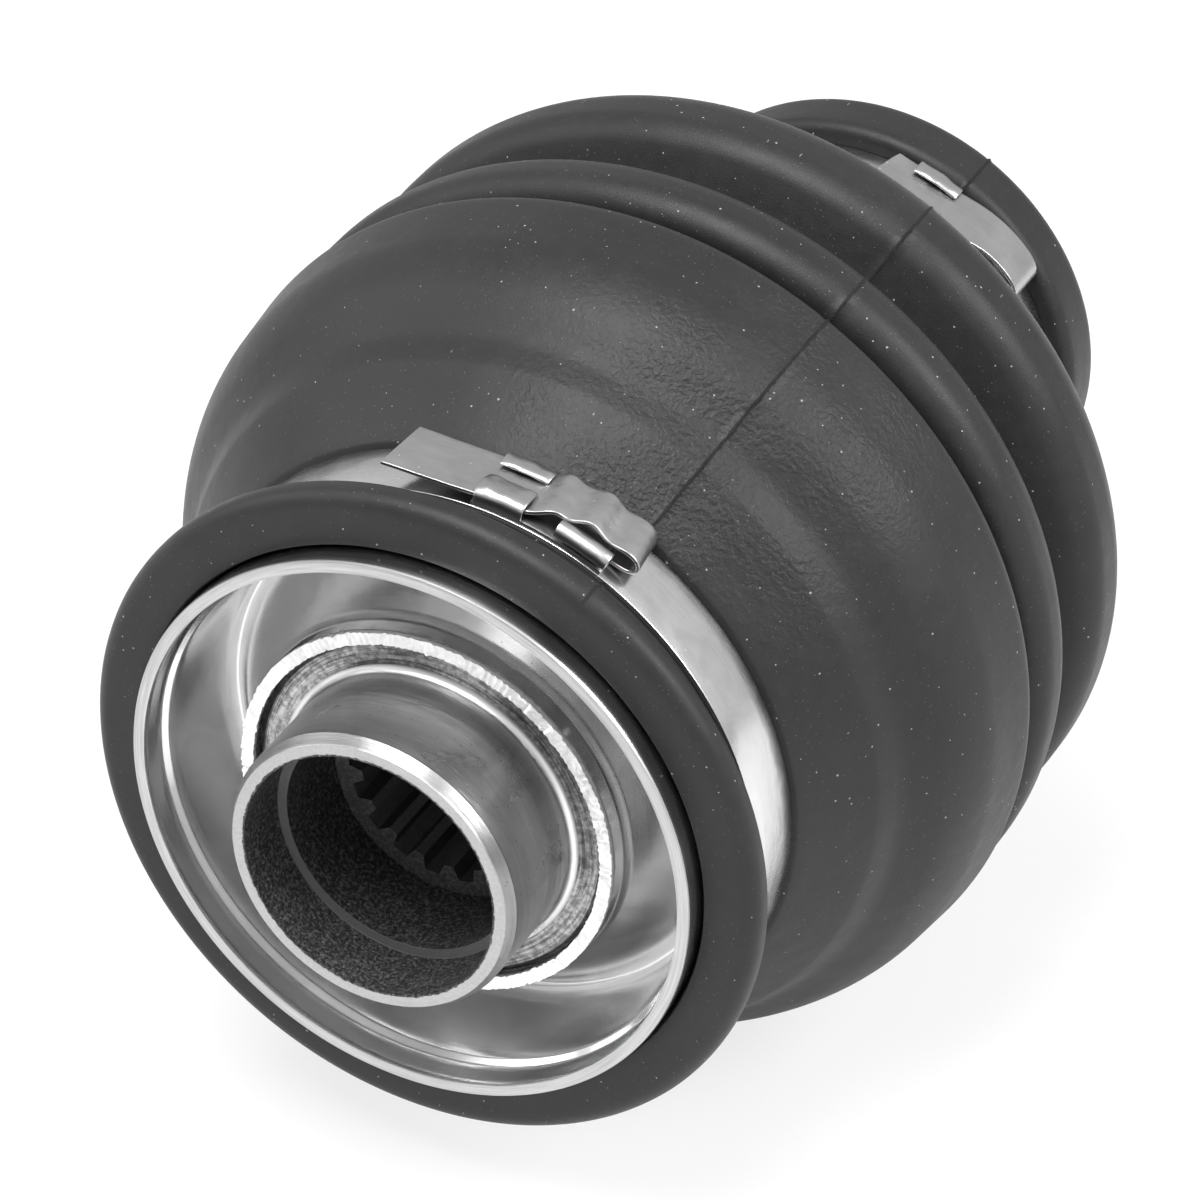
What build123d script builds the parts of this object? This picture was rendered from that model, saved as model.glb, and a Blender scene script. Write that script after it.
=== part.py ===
import os
from math import asin, cos, degrees, floor, pi, radians, sin

from build123d import *

# Universal joint sealed in a rubber boot, in millimetres.
# The shaft axis is Y, the splined sleeve's mouth is at the origin and faces -Y, and +Z is up.
# Names that end in _R are radii, and names that end in _Y are places along the shaft axis.

# Driving dimensions: splined sleeve and front hub
SLEEVE_R = 17.25
SLEEVE_CHAMFER = 1.4
SLEEVE_WALL = 2.15
BORE_DEPTH = 7.4
BORE_STEP = 1.1
SPLINE_STEP = 1.7
SPLINE_Y = 18.2
SPLINE_TEETH = 18
TOOTH_HEIGHT = 1.6
TOOTH_TIP_SHARE = 0.30
TOOTH_ROOT_SHARE = 0.58
HUB_STEP = 3.95
HUB_CHAMFER = 0.6
HUB_FILLET = 0.8
HUB_SET_BACK = 1.1
FLANGE_STEP = 2.3

# Driving dimensions: pressed cup
CUP_SHEET = 1.5
CUP_RIM_R = 34.0
CUP_RIM_Y = 8.5
CUP_LEDGE_DEPTH = 3.6
CUP_LEDGE = 0.7
CUP_LEDGE_BEND = 0.5
CUP_TAPER = 0.6
CUP_DEPTH = 19.5
CUP_FLOOR_BEND = 1.2
CUP_NECK_DEPTH = 4.4
CUP_NECK_LENGTH = 3.4
CUP_NECK_BEND = 3.0
NECK_FIT = 0.03
OVERCUT = 1.0

# Driving dimensions: cross, bearings and ears
CROSS_Y = 66.0
SWING = 20.0
SWING_GAP = 1.2
JOURNAL_R = 7.35
JOURNAL_CHAMFER = 0.6
SHOULDER_STEP = 2.85
CROSS_BODY_STEP = 2.3
CROSS_BALL_STEP = 1.0
NEEDLE_R = 1.5
NEEDLE_PLAY = 1.3
RUNNING_FIT = 0.04
END_PLAY = 0.3
BEARING_CUP_R = 11.0
BEARING_CUP_FLOOR = 2.0
BEARING_CHAMFER = 0.5
SEAL_GAP = 0.3
SEAL_LENGTH = 2.2
SEAL_INSET = 0.2
CUP_PROUD = 1.0
EAR_IN = 18.5
EAR_THICKNESS = 13.0
EYE_WALL = 5.5
EAR_CROWN = 3.1
RETAINER_WIDTH = 1.5
RETAINER_DEPTH = 1.1
RETAINER_HOLD = 2.0
RETAINER_MOUTH = 50.0
RETAINER_COVER = 0.6
GROOVE_FIT = 0.05

# Driving dimensions: forks and rear hub
CROTCH_FILLET = 9.0
FORK_ROOT_HALF = 14.5
ARM_SHOULDER = 19.0
ARM_FILLET = 8.0
FORK_SET_BACK = 2.1
FORK_STEP = 1.5
REAR_FORK_REACH = 35.0
REAR_HUB_REACH = 64.0
REAR_HUB_R = 23.0
REAR_HUB_CHAMFER = 0.8
PLUG_SHEET = 1.2
PLUG_SEAT = 2.4
PLUG_LEDGE = 0.9
PLUG_CROWN = 1.0
PLUG_BEND = 4.0
PLUG_EDGE_BEND = 1.6
PLUG_CROWN_SHARE = 0.55
PLUG_RIM_SHARE = 0.88
PLUG_FIT = 0.02

# Driving dimensions: rubber boot
BOOT_WALL = 2.5
BOOT_FIT = 0.08
MOVING_GAP = 0.3
SEAT_WALL = 2.6
SEAT_WIDTH = 8.8
COLLAR_SET_BACK = 2.7
COLLAR_WIDTH = 3.9
COLLAR_HEIGHT = 4.6
COLLAR_FRONT_ROUND = 2.0
COLLAR_REAR_ROUND = 1.3
CLAMP_SET_BACK = 4.6
SEAT_CORNER = 0.4
LIP_RISE = 0.6
LIP_HEIGHT = 3.4
LIP_BEND = 3.0
CONE_HEIGHT = 4.2
CONE_WIDTH = 5.0
CONE_BEND = 7.0
DOME_WIDTH = 11.9
DOME_BEND = 30.0
DOME_DROP = 1.0
DOME_FLARE = 0.6
DOME_EDGE_ROUND = 3.2
EAR_ROOM = 5.4
FOLD_DEPTH = 8.8
DOME_EDGE = 6.4
GROOVE_1 = 5.7
GROOVE_1_WIDTH = 1.9
GROOVE_1_BEND = 0.9
FOLD_1 = 3.0
FOLD_1_WIDTH = 6.8
FOLD_1_LIP_ROUND = 3.4
FOLD_1_BACK_ROUND = 4.0
GROOVE_2 = 8.2
GROOVE_2_WIDTH = 2.8
GROOVE_2_BEND = 2.4
FOLD_2 = 14.6
FOLD_2_WIDTH = 7.4
FOLD_2_DROP = 1.1
FOLD_2_LIP_ROUND = 4.0
FOLD_2_BACK_ROUND = 5.5
NECK_BEND = 6.0
REAR_SEAT_WIDTH = 10.6
BEAD_WIDTH = 8.4
BEAD_HEIGHT = 3.2
BEAD_OVERHANG = 1.0
BEAD_FRONT_ROUND = 1.6
BEAD_REAR_ROUND = 2.6
BEAD_MOUTH_ROUND = 1.0

# Driving dimensions: clamps
BAND_SHEET = 0.6
BAND_FIT = 0.05
BAND_MARGIN = 0.15
PLATE_SHEET = 0.6
PLATE_FIT = 0.05
PLATE_START = 1.0
PLATE_LENGTH = 17.0
FOLD_ROOT = 1.2
TAIL_LENGTH = 17.0
FRONT_FREE_END = 11.4
REAR_FREE_END = 4.4
EAR_PLACE = 13.8
EAR_LENGTH = 5.6
EAR_FLAP = 2.8
LUG_PLACE = 4.1
LUG_LENGTH = 6.2
LUG_R = 1.1
LUG_GAP = 0.3
FRONT_FOLD_ANGLE = 59.8
REAR_FOLD_ANGLE = 36.0

# Places and sizes worked out from the driving dimensions
BORE_R = SLEEVE_R - SLEEVE_WALL
SPLINE_ROOT_R = BORE_R - BORE_STEP - SPLINE_STEP
SPLINE_TIP_R = SPLINE_ROOT_R - TOOTH_HEIGHT
HUB_R = SLEEVE_R + HUB_STEP
CUP_NECK_Y = CUP_RIM_Y + CUP_NECK_DEPTH
HUB_Y = CUP_NECK_Y + HUB_SET_BACK
FLANGE_R = HUB_R + FLANGE_STEP
FLANGE_Y = CUP_NECK_Y + CUP_NECK_LENGTH + CUP_SHEET + CUP_NECK_BEND
FRONT_FORK_Y = FLANGE_Y + FORK_SET_BACK
EAR_OUT = EAR_IN + EAR_THICKNESS
EYE_R = BEARING_CUP_R + EYE_WALL
EAR_TURNED_R = EAR_OUT + EAR_CROWN
CROTCH = EAR_OUT * sin(radians(SWING)) + EYE_R * cos(radians(SWING)) + SWING_GAP
NEEDLE_RING_R = JOURNAL_R + RUNNING_FIT + NEEDLE_R
BEARING_BORE_R = NEEDLE_RING_R + NEEDLE_R + RUNNING_FIT
NEEDLE_COUNT = floor(pi / asin((NEEDLE_R + RUNNING_FIT / 2) / NEEDLE_RING_R))
RETAINER_OUT = EAR_OUT - RETAINER_COVER
BEARING_OUT = RETAINER_OUT - RETAINER_WIDTH
BEARING_MOUTH = EAR_IN - CUP_PROUD
BEARING_FLOOR = BEARING_OUT - BEARING_CUP_FLOOR
NEEDLE_LENGTH = BEARING_FLOOR - BEARING_MOUTH - NEEDLE_PLAY
JOURNAL_OUT = BEARING_FLOOR - END_PLAY
SHOULDER_OUT = BEARING_MOUTH - SEAL_LENGTH - SEAL_GAP
SHOULDER_R = JOURNAL_R + SHOULDER_STEP
CROSS_BODY_R = SHOULDER_R + CROSS_BODY_STEP
REAR_FORK_Y = CROSS_Y + REAR_FORK_REACH
REAR_HUB_END_Y = CROSS_Y + REAR_HUB_REACH
COLLAR_FRONT_Y = CUP_RIM_Y + COLLAR_SET_BACK
COLLAR_REAR_Y = COLLAR_FRONT_Y + COLLAR_WIDTH
SEAT_IN_R = CUP_RIM_R - CUP_LEDGE + BOOT_FIT
SEAT_R = SEAT_IN_R + SEAT_WALL
CLAMP_Y = COLLAR_REAR_Y + CLAMP_SET_BACK
SEAT_END_Y = CLAMP_Y + SEAT_WIDTH
COLLAR_R = SEAT_R + COLLAR_HEIGHT
GROOVE_R = EAR_TURNED_R + EAR_ROOM + BOOT_WALL
CREST_R = GROOVE_R + FOLD_DEPTH
REAR_BOOT_R = REAR_HUB_R + MOVING_GAP
REAR_SEAT_R = REAR_BOOT_R + BOOT_WALL
BEAD_R = REAR_SEAT_R + BEAD_HEIGHT
BOOT_END_Y = REAR_HUB_END_Y + BEAD_OVERHANG
BEAD_Y = BOOT_END_Y - BEAD_WIDTH
REAR_SEAT_Y = BEAD_Y - REAR_SEAT_WIDTH


def outline(corners):
    """Closed face with corners of (x, y, fillet radius)."""
    points = [(x, y) for x, y, _ in corners]
    fillets = [radius for _, _, radius in corners]
    return make_face(FilletPolyline(*points, radius=fillets, close=True))


def turned(corners):
    """Solid of revolution about the shaft axis, with corners of (radius, y, fillet radius)."""
    return revolve(outline(corners), Axis.Y)


def parallel(corners, shift):
    """The line moved to its left by `shift`, with each fillet kept concentric."""
    moved = []
    count = len(corners)
    for index, (x, y, radius) in enumerate(corners):
        here = Vector(x, y)
        before = Vector(*corners[index - 1][:2]) if index else None
        after = Vector(*corners[index + 1][:2]) if index + 1 < count else None
        into = (here - before).normalized() if before is not None else (after - here).normalized()
        away = (after - here).normalized() if after is not None else into
        left_in, left_out = (Vector(-step.Y, step.X) for step in (into, away))
        place = here + (left_in + left_out) * (shift / (1 + left_in.dot(left_out)))
        turn = into.cross(away).Z
        moved.append((place.X, place.Y, max(radius - shift * (1 if turn > 0 else -1), 0) if radius else 0))
    return moved


def turned_sheet(corners, shift):
    """Turned sheet between a line of (radius, y, fillet) corners and its parallel to the left."""
    return turned(corners + parallel(corners, shift)[::-1])


def along_shaft(face, front_y, rear_y):
    """Extrude a face drawn in X and Z between two places on the shaft axis."""
    return extrude(Plane.XZ.offset(-rear_y) * face, amount=rear_y - front_y)


def disc(radius, front_y, rear_y):
    """Round bar about the shaft axis."""
    return along_shaft(Circle(radius), front_y, rear_y)


def upright(radius, low, high):
    """Round bar about Z, between two distances from the cross's centre."""
    return Pos(0, 0, (low + high) / 2) * Cylinder(radius, high - low)


def spline_outline():
    """Section of the splined hole: one slot for each space between two teeth."""
    pitch = 2 * pi / SPLINE_TEETH
    tip_half = pitch * (1 - TOOTH_TIP_SHARE) / 2
    root_half = pitch * (1 - TOOTH_ROOT_SHARE) / 2
    corners = []
    for slot in range(SPLINE_TEETH):
        middle = slot * pitch
        steps = ((SPLINE_TIP_R, -tip_half), (SPLINE_ROOT_R, -root_half),
                 (SPLINE_ROOT_R, root_half), (SPLINE_TIP_R, tip_half))
        corners += [(r * cos(middle + turn), r * sin(middle + turn)) for r, turn in steps]
    return make_face(Polyline(*corners, close=True))


def fork(reach, base_r):
    """Fork about the cross's centre, ears on Z, with its base `reach` away towards -Y."""
    plan = Circle(EYE_R) + make_face(Polyline(
        (EYE_R, 0), (-EYE_R, 0), (-FORK_ROOT_HALF, -CROTCH), (-base_r, -reach),
        (base_r, -reach), (FORK_ROOT_HALF, -CROTCH), close=True))
    side = outline([
        (EYE_R, EAR_OUT, 0), (-ARM_SHOULDER, EAR_OUT, ARM_FILLET), (-reach, base_r, 0),
        (-reach, -base_r, 0), (-ARM_SHOULDER, -EAR_OUT, ARM_FILLET), (EYE_R, -EAR_OUT, 0)])
    gap = outline([
        (EYE_R + OVERCUT, EAR_IN, 0), (-CROTCH, EAR_IN, CROTCH_FILLET),
        (-CROTCH, -EAR_IN, CROTCH_FILLET), (EYE_R + OVERCUT, -EAR_IN, 0)])
    width = 2 * EAR_TURNED_R
    body = extrude(plan, amount=EAR_OUT, both=True)
    body &= extrude(Plane.YZ * (side - gap), amount=width, both=True)
    body &= turned([
        (0, -reach, 0), (base_r, -reach, 0), (EAR_TURNED_R, -ARM_SHOULDER, ARM_FILLET),
        (EAR_TURNED_R, EYE_R, 0), (0, EYE_R, 0)])
    body -= upright(BEARING_CUP_R, -EAR_OUT, EAR_OUT)
    groove = upright(BEARING_CUP_R + RETAINER_DEPTH, BEARING_OUT, RETAINER_OUT)
    return body - groove - Rot(180, 0, 0) * groove


def front_yoke():
    """Splined sleeve, hub and front fork, one steel forging."""
    plug_seat_y = CROSS_Y - CROTCH - PLUG_SEAT
    body = turned([
        (0, 0, 0), (SLEEVE_R - SLEEVE_CHAMFER / 2, 0, 0), (SLEEVE_R, SLEEVE_CHAMFER, 0),
        (SLEEVE_R, HUB_Y, HUB_FILLET), (HUB_R - HUB_CHAMFER, HUB_Y, 0), (HUB_R, HUB_Y + HUB_CHAMFER, 0),
        (HUB_R, FLANGE_Y, 0), (FLANGE_R, FLANGE_Y, HUB_CHAMFER), (FLANGE_R, CROSS_Y - CROTCH, 0),
        (0, CROSS_Y - CROTCH, 0)])
    body += Pos(0, CROSS_Y, 0) * fork(CROSS_Y - FRONT_FORK_Y, FLANGE_R - FORK_STEP)
    body -= disc(BORE_R, 0, BORE_DEPTH)
    body -= disc(BORE_R - BORE_STEP, BORE_DEPTH, SPLINE_Y)
    body -= along_shaft(spline_outline(), SPLINE_Y, plug_seat_y)
    return body - disc(SPLINE_ROOT_R + PLUG_LEDGE, plug_seat_y, CROSS_Y - CROTCH + OVERCUT)


def rear_yoke():
    """Rear fork with the splined hub that carries the boot's small end."""
    plug_seat_y = CROSS_Y + CROTCH + PLUG_SEAT
    fork_base = Pos(0, CROSS_Y, 0) * Rot(0, 90, 0) * Rot(0, 0, 180) * fork(
        REAR_FORK_Y - CROSS_Y, REAR_HUB_R)
    hub = disc(REAR_HUB_R, CROSS_Y + CROTCH, REAR_HUB_END_Y)
    hub = chamfer(hub.faces().sort_by(Axis.Y)[-1].edges(), REAR_HUB_CHAMFER)
    body = fork_base + hub
    body -= along_shaft(spline_outline(), plug_seat_y, REAR_HUB_END_Y)
    body -= disc(SPLINE_ROOT_R + PLUG_LEDGE, CROSS_Y + CROTCH - OVERCUT, plug_seat_y)
    return body


def pressed_cup():
    """Drawn steel cup: trimmed rim, ledge, tapered wall, dished floor and flared neck."""
    neck_r = HUB_R + NECK_FIT + CUP_SHEET
    rim_in = CUP_RIM_R - CUP_SHEET
    wall_in = rim_in - CUP_LEDGE
    ledge_y = CUP_RIM_Y + CUP_LEDGE_DEPTH
    return turned_sheet([
        (rim_in, CUP_RIM_Y, 0), (rim_in, ledge_y, CUP_LEDGE_BEND),
        (wall_in, ledge_y + CUP_LEDGE, CUP_LEDGE_BEND),
        (wall_in - CUP_TAPER, CUP_RIM_Y + CUP_DEPTH, CUP_FLOOR_BEND),
        (neck_r, CUP_NECK_Y + CUP_NECK_LENGTH, CUP_NECK_BEND), (neck_r, CUP_NECK_Y, 0)],
        -CUP_SHEET)


def core_plug(crotch_y, inward):
    """Dished plug pressed in the crotch end of a splined hole; inward is +1 or -1 along Y."""
    radius = SPLINE_ROOT_R + PLUG_LEDGE - PLUG_FIT
    rest_y = crotch_y + inward * PLUG_SEAT
    crown_y = rest_y - inward * PLUG_CROWN
    return turned_sheet([
        (0, crown_y, 0), (radius * PLUG_CROWN_SHARE, crown_y, PLUG_BEND),
        (radius * PLUG_RIM_SHARE, rest_y, PLUG_EDGE_BEND), (radius, rest_y, 0)],
        -inward * PLUG_SHEET)


def cross():
    """Four-armed cross: turned shoulders and journals on a forged body."""
    arm = upright(JOURNAL_R, 0, JOURNAL_OUT)
    arm = chamfer(arm.faces().sort_by(Axis.Z)[-1].edges(), JOURNAL_CHAMFER)
    shoulder = Pos(0, 0, SHOULDER_OUT / 2) * Cone(CROSS_BODY_R, SHOULDER_R, SHOULDER_OUT)
    arm += shoulder
    arms = [Rot(0, quarter * 90, 0) * arm for quarter in range(4)]
    body = arms[0] + arms[1] + arms[2] + arms[3] + Sphere(CROSS_BODY_R + CROSS_BALL_STEP)
    return Pos(0, CROSS_Y, 0) * body


def bearing_cup():
    """Drawn cup that holds the needles, about +Z, with its mouth towards the cross."""
    shell = upright(BEARING_CUP_R, BEARING_MOUTH, BEARING_OUT)
    shell = chamfer(shell.faces().sort_by(Axis.Z)[-1].edges(), BEARING_CHAMFER)
    return shell - upright(BEARING_BORE_R, BEARING_MOUTH, BEARING_FLOOR)


def needle_rollers():
    """One full ring of needle rollers between a journal and its bearing cup."""
    top = BEARING_FLOOR - RUNNING_FIT
    needle = upright(NEEDLE_R, top - NEEDLE_LENGTH, top)
    pitch = 360 / NEEDLE_COUNT
    return Compound([
        Rot(0, 0, place * pitch) * Pos(NEEDLE_RING_R, 0, 0) * needle for place in range(NEEDLE_COUNT)])


def cup_seal():
    """Rubber ring at the mouth of a bearing cup."""
    low = SHOULDER_OUT + SEAL_GAP
    ring = upright(BEARING_CUP_R - SEAL_INSET, low, BEARING_MOUTH)
    return ring - upright(JOURNAL_R + SEAL_GAP, low, BEARING_MOUTH)


def retaining_ring():
    """Open spring ring in the ear's groove, outside the bearing cup."""
    outer = BEARING_CUP_R + RETAINER_DEPTH - GROOVE_FIT
    blank = upright(outer, BEARING_OUT, RETAINER_OUT)
    blank -= upright(BEARING_CUP_R - RETAINER_HOLD, BEARING_OUT, RETAINER_OUT)
    half = radians(RETAINER_MOUTH / 2)
    reach = outer * 1.5
    mouth = make_face(Polyline(
        (0, 0), (reach * cos(half), -reach * sin(half)), (reach * cos(half), reach * sin(half)),
        close=True))
    return blank - extrude(Pos(0, 0, BEARING_OUT) * mouth, amount=RETAINER_WIDTH)


def rubber_boot():
    """Moulded boot: collar, clamp seat, dome, two folds, neck, rear seat and bead."""
    mouth_in = CUP_RIM_R + BOOT_FIT
    ledge_y = CUP_RIM_Y + CUP_LEDGE_DEPTH + CUP_LEDGE
    collar = turned([
        (mouth_in, COLLAR_FRONT_Y, MOVING_GAP), (COLLAR_R, COLLAR_FRONT_Y, COLLAR_FRONT_ROUND),
        (COLLAR_R, COLLAR_REAR_Y, COLLAR_REAR_ROUND), (SEAT_R, COLLAR_REAR_Y, 0),
        (SEAT_R, SEAT_END_Y, 0), (SEAT_IN_R, SEAT_END_Y, 0),
        (SEAT_IN_R, ledge_y + 2 * CUP_LEDGE, 0), (mouth_in, ledge_y + CUP_LEDGE, 0)])
    lip_r = SEAT_R + LIP_HEIGHT
    lip_y = SEAT_END_Y + LIP_RISE
    cone_y = lip_y + CONE_WIDTH
    dome_y = cone_y + DOME_WIDTH
    groove_1_y = CROSS_Y - GROOVE_1
    fold_1_y = CROSS_Y - FOLD_1
    groove_2_y = CROSS_Y + GROOVE_2
    fold_2_y = CROSS_Y + FOLD_2
    fold_2_r = CREST_R - FOLD_2_DROP
    bellows = turned_sheet([
        (SEAT_R, SEAT_END_Y - BOOT_WALL, 0), (SEAT_R, SEAT_END_Y, SEAT_CORNER), (lip_r, lip_y, LIP_BEND),
        (lip_r + CONE_HEIGHT, cone_y, CONE_BEND), (CREST_R - DOME_DROP, dome_y, DOME_BEND),
        (CREST_R + DOME_FLARE, CROSS_Y - DOME_EDGE, DOME_EDGE_ROUND),
        (GROOVE_R, groove_1_y, GROOVE_1_BEND), (GROOVE_R, groove_1_y + GROOVE_1_WIDTH, GROOVE_1_BEND),
        (CREST_R, fold_1_y, FOLD_1_LIP_ROUND), (CREST_R, fold_1_y + FOLD_1_WIDTH, FOLD_1_BACK_ROUND),
        (GROOVE_R, groove_2_y, GROOVE_2_BEND), (GROOVE_R, groove_2_y + GROOVE_2_WIDTH, GROOVE_2_BEND),
        (fold_2_r, fold_2_y, FOLD_2_LIP_ROUND), (fold_2_r, fold_2_y + FOLD_2_WIDTH, FOLD_2_BACK_ROUND),
        (REAR_SEAT_R, REAR_SEAT_Y - BOOT_WALL, NECK_BEND), (REAR_SEAT_R, BEAD_Y, 0)], BOOT_WALL)
    bead = turned([
        (REAR_BOOT_R, REAR_SEAT_Y, 0), (REAR_SEAT_R, REAR_SEAT_Y, 0), (REAR_SEAT_R, BEAD_Y, 0),
        (BEAD_R, BEAD_Y, BEAD_FRONT_ROUND), (BEAD_R, BOOT_END_Y, BEAD_REAR_ROUND),
        (REAR_BOOT_R, BOOT_END_Y, BEAD_MOUTH_ROUND)])
    return collar + bellows + bead


def strip_arc(inner_r, sheet, start, end):
    """Middle line of a curved strip between two angles in the XZ plane, counted from +X to +Z."""
    return CenterArc((0, 0), inner_r + sheet / 2, start, end - start)


def radial(angle):
    """Placement whose +Z points away from the shaft axis at an angle counted from +X to +Z."""
    return Rot(0, 90 - angle, 0)


def clamp_strap(seat_r, front_y, rear_y, fold_angle, free_end):
    """Band round the boot, its end folded back through the buckle and left standing off the band."""
    band_in = seat_r + BAND_FIT
    band_out = band_in + BAND_SHEET
    tail_in = band_out + PLATE_SHEET + 2 * PLATE_FIT
    per_mm = degrees(1 / band_out)
    leaves = fold_angle + TAIL_LENGTH * per_mm
    beside_lug = fold_angle + (LUG_PLACE + LUG_LENGTH / 2 + LUG_GAP) * per_mm
    tail = strip_arc(tail_in, BAND_SHEET, fold_angle, leaves)
    wide = strip_arc(tail_in, BAND_SHEET, beside_lug, leaves)
    root = strip_arc(band_in, BAND_SHEET, fold_angle - FOLD_ROOT * per_mm, fold_angle)
    end = Line(tail @ 1, (tail @ 1) + Vector(0, free_end).rotate(Axis.Z, leaves))
    low_y = front_y + BAND_MARGIN
    high_y = rear_y - BAND_MARGIN
    edge = PLATE_SHEET + PLATE_FIT
    fold = trace(tail, BAND_SHEET) + trace(Line(root @ 0, tail @ 0), BAND_SHEET)
    strap = along_shaft(Circle(band_out) - Circle(band_in), low_y, high_y)
    strap += along_shaft(fold, low_y + 2 * LUG_R + PLATE_FIT, high_y - edge)
    return strap + along_shaft(trace(wide, BAND_SHEET) + trace(end, BAND_SHEET), low_y + edge, high_y - edge)


def clamp_buckle(seat_r, front_y, rear_y, fold_angle):
    """Plate on the band, with two ears folded over the strap's end and a rolled lug."""
    plate_in = seat_r + BAND_FIT + BAND_SHEET + PLATE_FIT
    tail_out = plate_in + PLATE_SHEET + PLATE_FIT + BAND_SHEET
    per_mm = degrees(1 / plate_in)
    arc = strip_arc(plate_in, PLATE_SHEET, fold_angle + PLATE_START * per_mm,
                    fold_angle + PLATE_LENGTH * per_mm)
    low_y = front_y + BAND_MARGIN
    high_y = rear_y - BAND_MARGIN
    body = along_shaft(trace(arc, PLATE_SHEET), low_y, high_y)
    turn = radial(fold_angle + EAR_PLACE * per_mm)
    flap_z = tail_out + PLATE_FIT + PLATE_SHEET / 2
    wall_height = flap_z + PLATE_SHEET / 2 - plate_in
    for edge, inward in ((low_y, 1), (high_y, -1)):
        flap = Pos(0, edge + inward * EAR_FLAP / 2, flap_z) * Box(EAR_LENGTH, EAR_FLAP, PLATE_SHEET)
        wall = Pos(0, edge + inward * PLATE_SHEET / 2, plate_in + wall_height / 2)
        body += turn * (flap + wall * Box(EAR_LENGTH, PLATE_SHEET, wall_height))
    lug_place = radial(fold_angle + LUG_PLACE * per_mm) * Pos(0, low_y + LUG_R, plate_in + LUG_R)
    return body + lug_place * Rot(0, 90, 0) * Cylinder(LUG_R, LUG_LENGTH)


def bearing_places():
    """Name and turn of the four bearings about the cross."""
    return {"top": Rot(0, 0, 0), "bottom": Rot(0, 180, 0), "right": Rot(0, 90, 0), "left": Rot(0, -90, 0)}


def nodes():
    """Every sub-part under its node's name."""
    front_seat = (SEAT_R, CLAMP_Y, SEAT_END_Y, FRONT_FOLD_ANGLE)
    rear_seat = (REAR_SEAT_R, REAR_SEAT_Y, BEAD_Y, REAR_FOLD_ANGLE)
    parts = {
        "front_yoke": front_yoke(),
        "pressed_cup": pressed_cup(),
        "front_core_plug": core_plug(CROSS_Y - CROTCH, -1),
        "cross": cross(),
        "rear_yoke": rear_yoke(),
        "rear_core_plug": core_plug(CROSS_Y + CROTCH, 1),
        "rubber_boot": rubber_boot(),
        "front_clamp_strap": clamp_strap(*front_seat, FRONT_FREE_END),
        "front_clamp_buckle": clamp_buckle(*front_seat),
        "rear_clamp_strap": clamp_strap(*rear_seat, REAR_FREE_END),
        "rear_clamp_buckle": clamp_buckle(*rear_seat),
    }
    for place, turn in bearing_places().items():
        seat = Pos(0, CROSS_Y, 0) * turn
        parts[f"bearing_cup_{place}"] = seat * bearing_cup()
        parts[f"needle_rollers_{place}"] = seat * needle_rollers()
        parts[f"cup_seal_{place}"] = seat * cup_seal()
        parts[f"retaining_ring_{place}"] = seat * retaining_ring()
    return parts


os.makedirs("parts", exist_ok=True)
for name, part in nodes().items():
    export_step(part, f"parts/{name}.step")
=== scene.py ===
"""Looks of a universal joint that is sealed in a rubber bellows boot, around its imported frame."""

import logging
from dataclasses import dataclass, field
from enum import Enum
from math import atan2, cos, radians, sin, sqrt, tan, tau
from typing import Callable, NamedTuple, Optional, Union

import bmesh
import bpy
from mathutils import Matrix, Vector

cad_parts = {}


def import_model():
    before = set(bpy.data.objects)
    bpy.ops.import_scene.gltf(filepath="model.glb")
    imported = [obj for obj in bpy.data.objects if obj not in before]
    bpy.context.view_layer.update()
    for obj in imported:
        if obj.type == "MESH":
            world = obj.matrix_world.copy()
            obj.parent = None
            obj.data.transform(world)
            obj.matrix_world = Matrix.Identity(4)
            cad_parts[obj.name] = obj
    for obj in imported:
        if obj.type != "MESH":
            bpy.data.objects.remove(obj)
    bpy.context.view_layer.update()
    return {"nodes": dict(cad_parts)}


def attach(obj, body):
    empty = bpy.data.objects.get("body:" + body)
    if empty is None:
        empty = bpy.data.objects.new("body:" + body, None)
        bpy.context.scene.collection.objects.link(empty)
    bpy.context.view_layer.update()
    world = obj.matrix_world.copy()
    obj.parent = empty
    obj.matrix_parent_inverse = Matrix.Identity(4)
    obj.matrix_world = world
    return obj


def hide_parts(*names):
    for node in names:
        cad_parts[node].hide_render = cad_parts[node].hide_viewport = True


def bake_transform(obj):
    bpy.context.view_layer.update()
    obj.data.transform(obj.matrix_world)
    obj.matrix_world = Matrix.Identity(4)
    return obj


MM = 0.001
REST_PLACE = "rest_place"

log = logging.getLogger("joint")

Piece = bpy.types.Object
Socket = bpy.types.NodeSocket
Value = Union[Socket, float]


class Body(Enum):
    """The bodies of the frame that a piece can ride on."""

    FRONT = "front_half"
    CROSS = "cross"
    REAR = "rear_half"


class Slot(Enum):
    """Names of the record's material slots."""

    PRESSED = "pressed_steel"
    STRIP = "stainless_band"
    BOOT = "boot_rubber"


class Corner(NamedTuple):
    """A corner of a turned line: its radius, its place along the shaft and the bend's radius, in mm."""

    radius: float
    place: float
    bend: float = 0.0


class Station(NamedTuple):
    """A line across a strip, in mm: place along it, height, width and shift to the rear; skew in degrees."""

    along: float
    height: float
    width: float
    shift: float = 0.0
    skew: float = 0.0


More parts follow.
